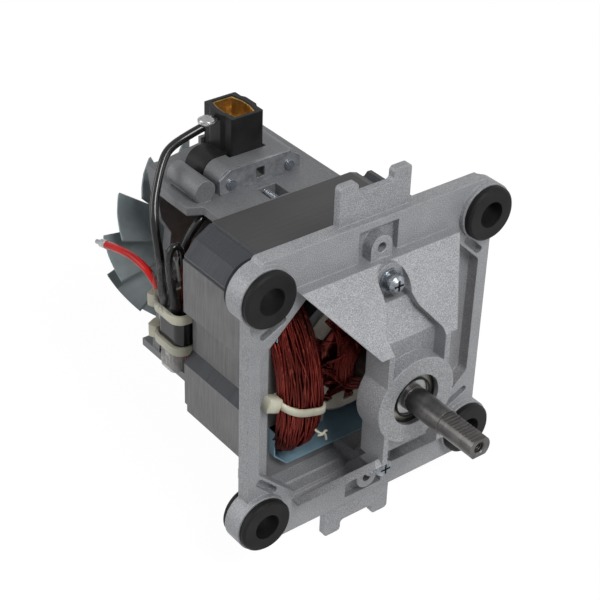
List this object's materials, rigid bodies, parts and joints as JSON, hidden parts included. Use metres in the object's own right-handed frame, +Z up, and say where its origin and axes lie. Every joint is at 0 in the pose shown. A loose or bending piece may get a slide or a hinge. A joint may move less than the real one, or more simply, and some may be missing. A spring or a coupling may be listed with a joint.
{
  "type": "universal motor",
  "caption": "Open-frame universal motor: laminated stator between two cast brackets on rubber grommets, with a flatted drive shaft, carbon brushes on a commutator and a rear cooling fan.",
  "frame": {"origin": "on the shaft axis, at the centre of the four grommet holes in the plane of the grommets' front faces", "axes": "+Y along the shaft away from its driven end, +Z up through the brush axis, +X to the right seen from the driven end"},
  "size_m": [0.123, 0.1845, 0.1576],
  "materials": {
    "cast_alloy": "cast",
    "rubber": "satin",
    "lamination_steel": "stacked sheet",
    "enamelled_copper": "enamelled",
    "liner_sheet": "satin",
    "insulating_board": "matt",
    "zinc_steel": "zinc plated",
    "bearing_steel": "ground",
    "shield_steel": "satin",
    "shaft_steel": "turned",
    "commutator_copper": "turned",
    "moulded_resin": "moulded",
    "grey_plastic": "moulded",
    "black_plastic": "moulded",
    "brass": "drawn",
    "carbon": "matt",
    "spring_steel": "drawn",
    "tinned_steel": "tinned",
    "black_sleeve": "gloss",
    "clear_sleeve": "milky",
    "nylon": "moulded",
    "red_insulation": "gloss"
  },
  "bodies": {
    "frame": {"brush_cap_bottom": "brass", "brush_cap_top": "brass", "brush_holder_bottom": "black_plastic", "brush_holder_top": "black_plastic", "brush_lead_bottom": "black_sleeve", "brush_lead_top": "black_sleeve", "brush_spring_bottom": "spring_steel", "brush_spring_top": "spring_steel", "brush_terminal_bottom": "tinned_steel", "brush_terminal_top": "tinned_steel", "brush_tube_bottom": "brass", "brush_tube_top": "brass", "clear_sleeve": "clear_sleeve", "coil_tape": "black_sleeve", "field_coil_left": "enamelled_copper", "field_coil_right": "enamelled_copper", "field_lead": "black_sleeve", "flat_washers": "zinc_steel", "front_bearing_outer": "bearing_steel", "front_bearing_shield": "shield_steel", "front_bracket": "cast_alloy", "front_coil_tie": "nylon", "grommet_bottom_left": "rubber", "grommet_bottom_right": "rubber", "grommet_top_left": "rubber", "grommet_top_right": "rubber", "heat_shrink_lower": "black_sleeve", "heat_shrink_sleeve": "black_sleeve", "holder_plate_bottom": "zinc_steel", "holder_plate_top": "zinc_steel", "holder_rivets": "zinc_steel", "loop_lead": "black_sleeve", "rear_bearing_outer": "bearing_steel", "rear_bracket": "cast_alloy", "rear_tie_lower": "nylon", "rear_tie_right": "nylon", "rear_tie_upper": "nylon", "red_lead": "red_insulation", "red_lead_end": "tinned_steel", "slot_liner_bottom": "liner_sheet", "slot_liner_top": "liner_sheet", "spring_washers": "zinc_steel", "stack_screws": "zinc_steel", "stator_core": "lamination_steel", "wave_washer": "shield_steel"},
    "rotor": {"shaft": "shaft_steel", "armature_core": "lamination_steel", "armature_end_discs": "insulating_board", "armature_winding": "enamelled_copper", "commutator_bars": "commutator_copper", "commutator_core": "moulded_resin", "fan": "grey_plastic", "front_bearing_inner": "bearing_steel", "rear_bearing_inner": "bearing_steel"},
    "front_ball_set": {"front_bearing_balls": "bearing_steel", "front_bearing_cage": "bearing_steel"},
    "rear_ball_set": {"rear_bearing_balls": "bearing_steel", "rear_bearing_cage": "bearing_steel"},
    "brush_top": {"carbon_brush_top": "carbon"},
    "brush_bottom": {"carbon_brush_bottom": "carbon"}
  },
  "joints": [
    {"name": "rotor_spin", "type": "hinge", "parent": "frame", "child": "rotor", "pos_m": [0, 0, 0], "axis": [0, 1, 0], "continuous": true},
    {"name": "front_ball_orbit", "type": "hinge", "parent": "frame", "child": "front_ball_set", "pos_m": [0, 0, 0], "axis": [0, 1, 0], "continuous": true},
    {"name": "rear_ball_orbit", "type": "hinge", "parent": "frame", "child": "rear_ball_set", "pos_m": [0, 0, 0], "axis": [0, 1, 0], "continuous": true},
    {"name": "brush_top_slide", "type": "slide", "parent": "frame", "child": "brush_top", "axis": [0, 0, 1], "range_m": [0, 0.006], "stiffness_N_per_m": 120, "springref_m": -0.008, "deforming": ["brush_spring_top"]},
    {"name": "brush_bottom_slide", "type": "slide", "parent": "frame", "child": "brush_bottom", "axis": [0, 0, -1], "range_m": [0, 0.006], "stiffness_N_per_m": 120, "springref_m": -0.008, "deforming": ["brush_spring_bottom"]}
  ],
  "couplings": [
    {"joint": "front_ball_orbit", "follows": "rotor_spin", "ratio": 0.3875},
    {"joint": "rear_ball_orbit", "follows": "rotor_spin", "ratio": 0.395}
  ]
}
